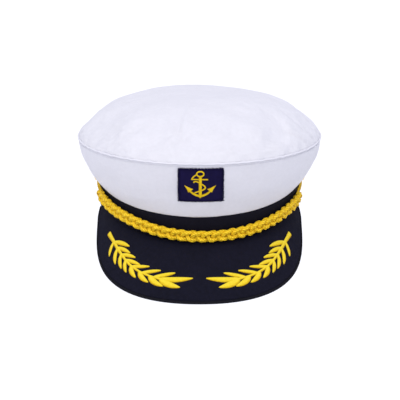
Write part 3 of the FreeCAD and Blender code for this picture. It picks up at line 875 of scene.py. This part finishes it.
def curve_through(points, count):
    """A smooth flat curve through a few points (Catmull-Rom), with its tangents."""
    points = np.asarray(points, float)
    padded = np.vstack([2 * points[0] - points[1], points, 2 * points[-1] - points[-2]])
    spots = np.linspace(0, len(points) - 1 - 1e-9, count)
    index = spots.astype(int)
    t = (spots - index)[:, None]
    a, b, c, d = (padded[index + k] for k in range(4))
    line = 0.5 * (2 * b + (c - a) * t + (2 * a - 5 * b + 4 * c - d) * t ** 2
                  + (3 * b - a - 3 * c + d) * t ** 3)
    tangent = np.gradient(line, axis=0)
    return line, unit(tangent)


def add_satin(pile, place, path, width, rise, base, count, lean=0.5):
    """A raised satin-stitch shape: place(across, along, lift) maps flat points onto the cloth."""
    line, tangent = curve_through(path, count)
    share = np.linspace(0, 1, count)
    half = np.array([width(s) for s in share])
    across = 9
    side = np.linspace(-1, 1, across)
    flat_x = line[:, None, 0] - tangent[:, None, 1] * half[:, None] * side
    flat_y = line[:, None, 1] + tangent[:, None, 0] * half[:, None] * side
    crown = np.sqrt(np.maximum(1 - side ** 2, 0)) ** 0.8
    body = rise * np.minimum(1, half / half.max() + 0.35)
    height = base + crown[None, :] * body[:, None]
    top = place(flat_x, flat_y, height)
    bottom = place(flat_x, flat_y, np.full_like(height, base - 0.3))
    along = length_along(line)
    # Painted light: each stitch is darker towards its edges, and one edge darker than the other, as
    # painted shade.
    painted_light = np.clip(1 - 0.6 * np.abs(side) ** 3 - 0.2 * side, 0, 1)
    weave = stack(along[:, None] + lean * np.abs(half[:, None] * side), half[:, None] * side, painted_light)
    points = np.concatenate([top.reshape(-1, 3), bottom.reshape(-1, 3)])
    total = count * across
    faces = grid_faces(count, across)
    faces += flipped(grid_faces(count, across, start=total))
    for i in range(count - 1):
        left, right = i * across, i * across + across - 1
        faces.append((left + across, left, total + left, total + left + across))
        faces.append((right, right + across, total + right + across, total + right))
    for j in range(across - 1):
        last = (count - 1) * across
        faces.append((j, j + 1, total + j + 1, total + j))
        faces.append((last + j + 1, last + j, total + last + j, total + last + j + 1))
    pile.add(points, faces, np.concatenate([weave.reshape(-1, 3)] * 2))


def leaf_width(widest, base=1.1, tip=0.35):
    """The half width along a leaf: narrow at the stem, widest past a third, pointed at the tip."""
    def half_width(share):
        belly = math.sin(math.pi * share ** 0.8) ** 0.9 if 0 < share < 1 else 0.0
        return lerp(base, tip, share) * (1 - belly) + widest * belly
    return half_width


# The stem's angles and reaches on the visor, then each leaf's base, tip, half width and bow.
STEM = [
    (50.0, 13.1), (47.0, 14.9), (43.8, 17.0), (38.0, 21.9), (33.5, 26.2), (28.8, 30.8),
    (24.0, 34.4), (20.2, 36.6), (15.8, 38.2), (13.0, 38.9),
]
STEM_SCALE = 2.35
LEAVES = [
    (43.2, 17.1, 34.0, 15.4, 2.1, 0.05), (39.4, 20.5, 31.6, 20.9, 1.8, 0.05),
    (34.9, 24.7, 27.9, 23.5, 1.7, 0.05), (31.6, 28.0, 24.1, 29.0, 1.7, 0.04),
    (27.2, 32.0, 20.0, 28.7, 1.5, 0.0), (21.8, 35.7, 14.9, 30.8, 1.6, 0.02),
    (16.6, 37.8, 9.1, 31.7, 1.8, 0.01), (14.0, 38.6, 2.4, 35.9, 2.5, -0.02),
    (43.6, 17.5, 40.6, 29.9, 1.6, 0.06), (39.2, 21.3, 35.1, 34.3, 1.8, 0.07),
    (35.4, 24.7, 31.2, 36.3, 1.7, 0.07), (31.6, 28.1, 28.2, 38.5, 1.7, 0.07),
    (27.8, 31.7, 23.4, 41.0, 2.1, 0.07), (23.2, 35.0, 18.0, 43.2, 2.2, 0.07),
    (18.6, 37.2, 12.4, 45.1, 2.5, 0.06), (14.4, 38.5, 6.5, 44.9, 2.9, 0.05),
]


def add_leaf(pile, side, leaf):
    """A satin-stitched leaf: a pointed blade that bows away from the stem."""
    base_angle, base_reach, tip_angle, tip_reach, half_width, bend = leaf
    middle = visor(np.array((base_angle + tip_angle) / 2), (base_reach + tip_reach) / 2)
    step = visor(np.array((base_angle + tip_angle) / 2 + 1), (base_reach + tip_reach) / 2)
    scale = float(np.linalg.norm(step - middle))
    tip = np.array([(base_angle - tip_angle) * scale, tip_reach - base_reach])
    length = np.linalg.norm(tip)
    forward = tip / length
    outward = np.array([-forward[1], forward[0]])
    if tip_reach < base_reach + 3:
        outward = -outward
    bow = bend * length

    def place(across, along, lift):
        return visor(side * (base_angle - across / scale), base_reach + along, lift)
    path = [tip * 0.0, tip * 0.3 + outward * bow, tip * 0.65 + outward * bow * 0.9, tip]
    add_satin(pile, place, path, leaf_width(half_width), THREAD_RISE, 0.1, 23)


def stem_width(share):
    """The cut end is broad; the stem narrows to its tip."""
    return lerp(0.8, 2.1, (1 - share) ** 2.5)


def laurel_sprig(name, side):
    pile = Pile()
    for leaf in LEAVES:
        add_leaf(pile, side, leaf)

    def stem_place(across, along, lift):
        return visor(side * (STEM[0][0] - across / STEM_SCALE), along, lift)
    path = [((STEM[0][0] - angle) * STEM_SCALE, reach) for angle, reach in STEM]
    add_satin(pile, stem_place, path, stem_width, THREAD_RISE, 0.25, 61)
    place_piece(pile.make(name), "cap", "gold_thread", name)


# ---------- badge ----------

def badge_patch():
    rows, columns = 61, 57
    across = np.linspace(-1, 1, rows)[:, None]
    up = np.linspace(-1, 1, columns)[None, :]
    edge = np.maximum(np.abs(across), np.abs(up))
    ragged = 0.5 * smooth_step(0.93, 1.0, edge)
    flat_x = across * PATCH_WIDTH / 2 + ragged * waves(across * 40, up * 40, 51, 6)
    flat_y = up * PATCH_HEIGHT / 2 + ragged * waves(across * 40, up * 40, 52, 6)
    lift = 0.1 + PATCH_THICK * (1 - 0.6 * smooth_step(0.93, 1.0, edge))
    lift = lift + 0.05 * waves(flat_x, flat_y, 53, 8)
    points = badge_place(flat_x, flat_y, lift)
    weave = stack(flat_x, flat_y, 0.0)
    faces = flipped(grid_faces(rows, columns))
    piece = add_thickness(make_object("patch", points, faces, weave), 1.0)
    place_piece(piece, "cap", "patch_cloth", "badge_patch")


def patch_stitches():
    """Slanted overlock threads along the patch's four edges."""
    pile = Pile()
    half = np.array([PATCH_WIDTH / 2, PATCH_HEIGHT / 2])
    for axis in (0, 1):
        for sign in (-1, 1):
            for spot in np.arange(-half[1 - axis] + 0.6, half[1 - axis] - 0.4, 1.1):
                ends = []
                for depth, shift in ((0.45, -0.35), (-0.7, 0.1), (-1.7, 0.4)):
                    flat = [0.0, 0.0]
                    flat[axis] = sign * (half[axis] + depth + RNG.uniform(-0.3, 0.3))
                    flat[1 - axis] = spot + shift + RNG.uniform(-0.1, 0.1)
                    lift = 0.3 if depth > 0 else PATCH_THICK + 0.25
                    ends.append(badge_place(np.array(flat[0]), np.array(flat[1]), lift))
                add_tube(pile, np.array(ends), 0.28, 6)
    place_piece(pile.make("patch_edge_stitches"), "cap", "patch_cloth")


BADGE_BASE = PATCH_THICK + 0.1


def stitch_place(across, up, lift):
    """The anchor's own origin, a little up and to the side of the patch's middle."""
    return badge_place(across - 0.5, up + 1.8, lift)


def badge_anchor():
    pile = Pile()

    def satin(path, width, lift=BADGE_BASE):
        add_satin(pile, stitch_place, path, width, THREAD_RISE, lift, 17, lean=0.0)
    satin([(0.1, -12.2), (0.1, -3), (0.1, 7.4)], lambda s: 1.25, BADGE_BASE + 0.25)
    satin([(-6.9, 4.7), (0, 4.5), (6.1, 4.4)], lambda s: 0.66)
    for side in (-1, 1):
        satin([(0, -12.3), (side * 3.6, -10.9), (side * 6.6, -8.6), (side * 8.8, -5.8)],
              lambda s: lerp(1.3, 0.7, s))
        satin([(side * 7.3, -6.8), (side * 9.6, -4.3), (side * 12.2, -1.5)],
              lambda s: lerp(2.8, 0.1, s ** 0.8))
    satin([(0.1, -11.4), (0.1, -12.8), (0.1, -14.2)], lambda s: lerp(2.4, 0.2, s))
    turn = np.linspace(0, 2 * math.pi, 40, endpoint=False)
    ring = stitch_place(0.1 + 2.75 * np.cos(turn), 9.9 + 2.4 * np.sin(turn), BADGE_BASE + 0.3)
    add_tube(pile, ring, 0.6, 10, closed=True)
    place_piece(pile.make("anchor"), "cap", "gold_thread", "badge_anchor", look="gold_badge")


def badge_rope():
    """The rope hangs from the ring to the stock, and winds once round the shank."""
    pile = Pile()
    hanging = [(-2.6, 9.2), (-4.3, 8.0), (-5.6, 6.4), (-6.4, 4.9)]
    winding = [(-5.2, 1.6), (-4.0, 2.5), (-2.2, 2.2), (1.2, 0.0), (3.6, -2.4), (3.8, -4.4),
               (2.0, -6.0), (-1.2, -7.4), (-4.4, -9.0)]
    for path, width in ((hanging, 0.6), (winding, 0.7)):
        add_satin(pile, stitch_place, path, lambda s: width, THREAD_RISE * 0.8, BADGE_BASE, 41,
                  lean=0.0)
    place_piece(pile.make("rope"), "cap", "gold_thread", "badge_rope", look="gold_badge")


# ---------- chin cord ----------

BRAID_PERIOD = 25.0
BRAID_HIGH = 2.85
BRAID_DEEP = 1.1
BRAID_FLAT = 2.6
STRAND = 1.7
WINDINGS = 3
LOOP_OFF_BAND = 1.05
PLY_RADIUS = 0.45
PLY_PITCH = 4.0


def cord_line():
    """The middle of the cord as it lies round the front of the band."""
    degrees, height = curve_through(CORD_HEIGHTS, 400)[0].T
    off = lerp(CORD_OFF_BAND, CORD_END_OFF, smooth_step(61, 70, np.abs(degrees)))
    x, y = band_plan(np.radians(degrees), off)
    return stack(x, y, height)


def rope_twist(starts, pitch, depth):
    return lambda along, turn: 1 + depth * np.cos(starts * turn + 2 * math.pi * along / pitch)


def chin_braid():
    """Three twisted strands plaited flat, one over another."""
    line = resample(cord_line(), 0.42)
    along, side, up = line_frames(line)
    ends = np.minimum(along, along[-1] - along)
    pinch = lerp(0.84, 1.0, smooth_step(0, 7, ends))
    pile = Pile()
    for strand in range(3):
        phase = 2 * math.pi * (along / BRAID_PERIOD + strand / 3)
        level = np.tanh(BRAID_FLAT * np.sin(phase)) / math.tanh(BRAID_FLAT)
        high = BRAID_HIGH * pinch * level
        deep = BRAID_DEEP * pinch * np.sin(2 * phase)
        path = line + up * high[:, None] + side * deep[:, None]
        # Painted shade: a strand is darkened where it passes behind the others, most of all where
        # it crosses the braid's middle, between the lobes.
        painted_shade_behind = smooth_step(0.2, -0.5, np.sin(2 * phase))
        painted_light = 0.9 - painted_shade_behind * (0.1 + 0.8 * smooth_step(0.0, 0.4, 1 - np.abs(level)))
        add_tube(pile, path, STRAND * pinch, 20, twist=rope_twist(4, 6.8, 0.16), painted_light=painted_light)
    place_piece(pile.make("chin_braid"), "chin_cord", "gold_braid", "chin_cord")


def cord_end_windings():
    """Thread wound round each end of the braid, where the strands are gathered."""
    line = cord_line()
    for name, path in (("left", line[::-1]), ("right", line)):
        last = path[0]
        direction = unit(last - path[3])
        sideways = unit(np.cross(direction, [0, 0, 1.0]))
        upward = np.cross(sideways, direction)
        share = np.linspace(0, 1, 96)
        spin = share * WINDINGS * 2 * math.pi
        size = lerp(2.6, 1.1, share ** 1.5)
        core = last + direction * (share * 3.4 - 0.6)[:, None]
        winding = core + sideways * (np.cos(spin) * size)[:, None]
        winding = winding + upward * (np.sin(spin) * size)[:, None]
        pile = Pile()
        add_tube(pile, core, size, 14)
        add_tube(pile, winding, 0.55, 8)
        piece = pile.make("cord_end_" + name)
        place_piece(piece, "chin_cord", "gold_braid", "cord_wrap_" + name)


def cord_loops():
    """A thin two-ply strand from each end, round the button's shank and back."""
    line = cord_line()
    for name, side, end in (("left", 1, line[-1]), ("right", -1, line[0])):
        low, high = corners_mm("cord_loop_" + name)
        pivot_x = BAND_HALF_WIDTH + LOOP_OFF_BAND
        spread = (high[2] - low[2]) / 2 - 0.9
        angle = np.linspace(math.atan2(abs(end[0]), WIDEST_Y - end[1]), math.pi / 2, 60)
        share = np.linspace(0, 1, 60)
        x, y = band_plan(angle, 0)
        x = x + LOOP_OFF_BAND
        lead = smooth_step(0, 0.6, share)
        upper = stack(x, y, lerp(end[2] + 0.8, PIVOT_Z + spread, lead))
        lower = stack(x, y, lerp(end[2] - 0.8, PIVOT_Z - spread, lead))
        turn = np.linspace(0, math.pi, 24)[1:-1]
        bend = stack(pivot_x, WIDEST_Y + spread * np.sin(turn), PIVOT_Z + spread * np.cos(turn))
        strand = resample(np.concatenate([upper, bend, lower[::-1]]), 0.4)
        sideways = np.array([1.0, 0, 0])
        flat = unit(np.cross(unit(np.gradient(strand, axis=0)), sideways))
        pile = Pile()
        for ply in (0, math.pi):
            spin = 2 * math.pi * np.arange(len(strand)) * 0.4 / PLY_PITCH + ply
            twist = np.cos(spin)[:, None] * sideways + np.sin(spin)[:, None] * flat
            ply = (strand + PLY_RADIUS * 0.9 * twist) * np.array([side, 1, 1.0])
            add_ply(pile, ply, PLY_RADIUS)
        piece = pile.make("cord_strand_" + name)
        place_piece(piece, "chin_cord", "gold_braid", "cord_loop_" + name)


def add_ply(pile, line, radius, sides=8):
    """A thin tube whose rings keep to the button's axis, so that it can turn upright bends."""
    tangent = unit(np.gradient(line, axis=0))
    first = unit(np.cross(tangent, [1.0, 0, 0]))
    second = np.cross(tangent, first)
    turn = np.linspace(0, 2 * math.pi, sides, endpoint=False)[None, :, None]
    ring = first[:, None] * np.cos(turn) + second[:, None] * np.sin(turn)
    points = line[:, None] + ring * radius
    # The third weave coordinate, 0.8, keeps the plies a little under full brightness: slight
    # painted shade.
    weave = stack(np.arange(len(line))[:, None] * 0.5, turn[..., 0] * radius, 0.8)
    pile.add(points, tube_faces(len(line), sides), weave)


# ---------- stage ----------

FLOOR_HEIGHT = -0.6
FLOOR_HALF_SIDE = 4.0
LIGHT_FROM = (-0.08, -0.5, 0.86)
LIGHT_POWER = 1.75
LIGHT_SPREAD = 60.0
WORLD_STRENGTH = 0.76
CAMERA_DISTANCE = 1.2
CAMERA_RISE = 22.5
CAMERA_LENS = 121.9
CAMERA_SHIFT = (0.00125, -0.0075)


def add_camera():
    data = bpy.data.cameras.new("camera")
    data.lens = CAMERA_LENS
    data.sensor_width = 36
    data.shift_x, data.shift_y = CAMERA_SHIFT
    camera = bpy.data.objects.new("camera", data)
    rise = math.radians(CAMERA_RISE)
    camera.location = (0, -CAMERA_DISTANCE * math.cos(rise), CAMERA_DISTANCE * math.sin(rise))
    camera.rotation_euler = (math.pi / 2 - rise, 0, 0)
    bpy.context.scene.collection.objects.link(camera)
    bpy.context.scene.camera = camera


def add_light():
    """One broad soft light, far away over the visor."""
    data = bpy.data.lights.new("key", "SUN")
    data.energy = LIGHT_POWER
    data.color = (1.0, 0.96, 0.86)
    data.angle = math.radians(LIGHT_SPREAD)
    light = bpy.data.objects.new("key", data)
    light.location = LIGHT_FROM
    light.rotation_euler = (-Vector(LIGHT_FROM)).to_track_quat("-Z", "Y").to_euler()
    bpy.context.scene.collection.objects.link(light)


def add_stage():
    half = FLOOR_HALF_SIDE
    corners = [(-half, -half), (half, -half), (half, half), (-half, half)]
    points = np.array([(x, y, FLOOR_HEIGHT) for x, y in corners]) / MM
    floor = make_object("floor", points, [(0, 1, 2, 3)])
    made = Nodes("pale_floor", (0.93, 0.93, 0.93), 0.9)
    grain = made.noise(made.node("TexCoord").outputs["Object"], 40.0)
    made.color(made.ramp(grain, (0.3, (0.92, 0.92, 0.92)), (0.7, (0.94, 0.94, 0.94))))
    floor.data.materials.append(made.material)
    world = bpy.data.worlds.new("studio")
    world.use_nodes = True
    back = world.node_tree.nodes["Background"]
    back.inputs["Color"].default_value = (0.91, 0.94, 1.13, 1)
    back.inputs["Strength"].default_value = WORLD_STRENGTH
    bpy.context.scene.world = world
    add_light()
    bpy.context.scene.view_settings.view_transform = "Standard"


dress_cad_nodes()
crown_top()
crown_sides()
crown_ridge()
crown_topstitch()
lining_top()
lining_sides()
lining_welt()
sweatband()
size_label()
cap_band()
band_hem()
visor_layers()
visor_edge()
laurel_sprig("laurel_sprig_left", 1)
laurel_sprig("laurel_sprig_right", -1)
badge_patch()
patch_stitches()
badge_anchor()
badge_rope()
chin_braid()
cord_end_windings()
cord_loops()
add_camera()
add_stage()
